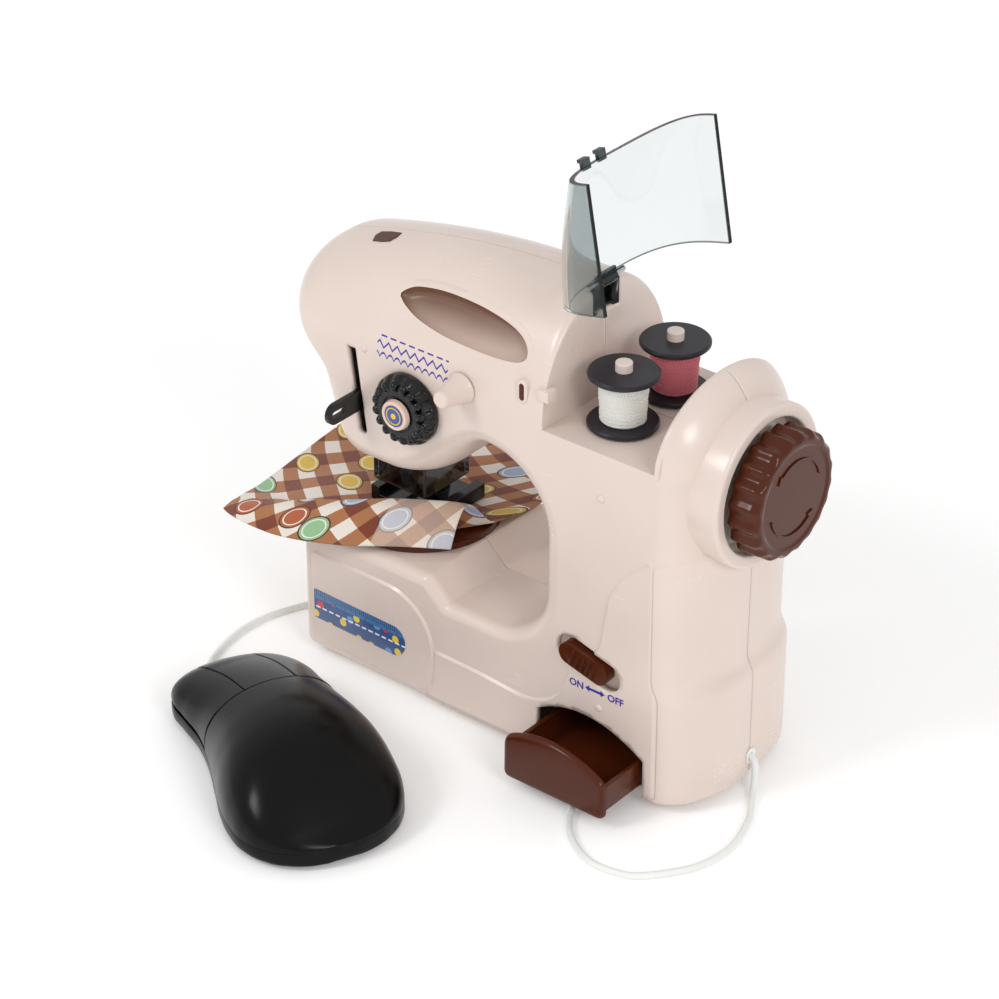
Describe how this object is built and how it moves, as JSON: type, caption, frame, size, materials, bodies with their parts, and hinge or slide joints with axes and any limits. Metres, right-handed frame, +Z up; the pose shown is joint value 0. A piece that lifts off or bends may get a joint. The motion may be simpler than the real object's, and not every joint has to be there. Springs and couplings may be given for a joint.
{
  "type": "toy sewing machine",
  "caption": "Toy sewing machine with arched arm, handwheel, thread spools under a hinged clear cover, drawer, slide switch, cloth and a corded foot pedal.",
  "frame": {"origin": "centre of the machine's base on the ground plane that its rubber feet stand on", "axes": "+Z up, -Y towards the front with the dial and the drawer, +X towards the handwheel"},
  "size_m": [0.2291, 0.195, 0.2322],
  "materials": {
    "housing_plastic": "satin",
    "rubber": "matte",
    "steel": "satin",
    "inner_plastic": "matte",
    "battery_sleeve": "gloss",
    "brown_plastic": "gloss",
    "smoked_plastic": "clear",
    "black_plastic": "satin",
    "bush_metal": "satin",
    "dial_cap": "satin",
    "spool_plastic": "satin",
    "white_thread": "sheen",
    "pink_thread": "sheen",
    "motor_can": "satin",
    "label": "gloss",
    "circuit_board": "satin",
    "cord_jacket": "satin",
    "cotton_cloth": "matte"
  },
  "bodies": {
    "housing": {"front_shell": "housing_plastic", "rear_shell": "housing_plastic", "rubber_feet": "rubber", "housing_screws": "steel", "battery_tray": "inner_plastic", "battery_cells": "battery_sleeve", "battery_contacts": "steel", "battery_door": "housing_plastic", "needle_plate": "brown_plastic", "needle_guard": "smoked_plastic", "bar_guides": "bush_metal", "lever_rod": "steel", "dial_spindle": "steel", "thread_post": "housing_plastic", "spool_pegs": "housing_plastic", "cover_pin": "steel", "drawer_rails": "inner_plastic", "switch_body": "inner_plastic", "shaft_bushes": "bush_metal", "motor": "motor_can", "motor_bracket": "inner_plastic", "drive_belt": "rubber", "label_strip": "label", "pedal_base": "black_plastic", "pedal_cover": "black_plastic", "pedal_switch": "circuit_board", "pedal_feet": "rubber", "cord_grommet": "cord_jacket", "pedal_cord": "cord_jacket", "sewing_cloth": "cotton_cloth"},
    "drive": {"handwheel": "brown_plastic", "main_shaft": "steel", "main_pulley": "inner_plastic", "crank_disc": "steel"},
    "pinion": {"motor_pulley": "inner_plastic"},
    "needle_slide": {"needle_bar": "steel", "needle": "steel"},
    "lever": {"take_up_lever": "black_plastic"},
    "presser": {"presser_foot": "black_plastic", "presser_bar": "steel"},
    "dial": {"tension_dial": "black_plastic", "dial_cap": "dial_cap"},
    "front_reel": {"front_spool": "spool_plastic", "front_thread": "white_thread", "front_winding": "white_thread"},
    "rear_reel": {"rear_spool": "spool_plastic", "rear_thread": "pink_thread", "rear_winding": "pink_thread"},
    "cover": {"spool_cover": "smoked_plastic"},
    "tray": {"drawer": "brown_plastic"},
    "switch": {"switch_knob": "brown_plastic"},
    "key_left": {"pedal_left": "black_plastic"},
    "key_middle": {"pedal_middle": "black_plastic"},
    "key_right": {"pedal_right": "black_plastic"}
  },
  "joints": [
    {"name": "handwheel_turn", "type": "hinge", "parent": "housing", "child": "drive", "pos_m": [0, 0, 0.123], "axis": [1, 0, 0], "continuous": true},
    {"name": "motor_turn", "type": "hinge", "parent": "housing", "child": "pinion", "pos_m": [0.07, 0, 0.074], "axis": [1, 0, 0], "continuous": true},
    {"name": "needle_stroke", "type": "slide", "parent": "housing", "child": "needle_slide", "axis": [0, 0, 1], "range_m": [-0.004, 0.009]},
    {"name": "lever_stroke", "type": "slide", "parent": "housing", "child": "lever", "axis": [-0.1403, 0, 0.9901], "range_m": [-0.007, 0.01575]},
    {"name": "presser_lift", "type": "slide", "parent": "housing", "child": "presser", "axis": [0, 0, 1], "range_m": [0, 0.0046]},
    {"name": "dial_turn", "type": "hinge", "parent": "housing", "child": "dial", "pos_m": [-0.0361, -0.04, 0.123], "axis": [0, -1, 0], "range_deg": [-135, 135]},
    {"name": "front_spool_turn", "type": "hinge", "parent": "housing", "child": "front_reel", "pos_m": [0.0415, -0.0144, 0.14], "axis": [0, 0, 1], "continuous": true},
    {"name": "rear_spool_turn", "type": "hinge", "parent": "housing", "child": "rear_reel", "pos_m": [0.0415, 0.0144, 0.14], "axis": [0, 0, 1], "continuous": true},
    {"name": "cover_hinge", "type": "hinge", "parent": "housing", "child": "cover", "pos_m": [0.022, 0, 0.1785], "axis": [0, 1, 0], "range_deg": [0, 102.8]},
    {"name": "drawer_slide", "type": "slide", "parent": "housing", "child": "tray", "axis": [0, 1, 0], "range_m": [-0.012, 0.0212]},
    {"name": "switch_slide", "type": "slide", "parent": "housing", "child": "switch", "axis": [0.9681, 0, -0.2504], "range_m": [-0.0016, 0.0042]},
    {"name": "key_left_press", "type": "hinge", "parent": "housing", "child": "key_left", "pos_m": [-0.05442, -0.0911, 0.008], "axis": [-0.4067, -0.9135, 0], "range_deg": [0, 0.7], "stiffness_Nm_per_rad": 0.6, "springref_deg": -1.15},
    {"name": "key_middle_press", "type": "hinge", "parent": "housing", "child": "key_middle", "pos_m": [-0.05442, -0.0911, 0.008], "axis": [-0.4067, -0.9135, 0], "range_deg": [0, 0.7], "stiffness_Nm_per_rad": 0.6, "springref_deg": -1.15},
    {"name": "key_right_press", "type": "hinge", "parent": "housing", "child": "key_right", "pos_m": [-0.05442, -0.0911, 0.008], "axis": [-0.4067, -0.9135, 0], "range_deg": [0, 0.7], "stiffness_Nm_per_rad": 0.6, "springref_deg": -1.15}
  ],
  "couplings": [
    {"joint": "lever_stroke", "follows": "needle_stroke", "ratio": 1.75}
  ]
}
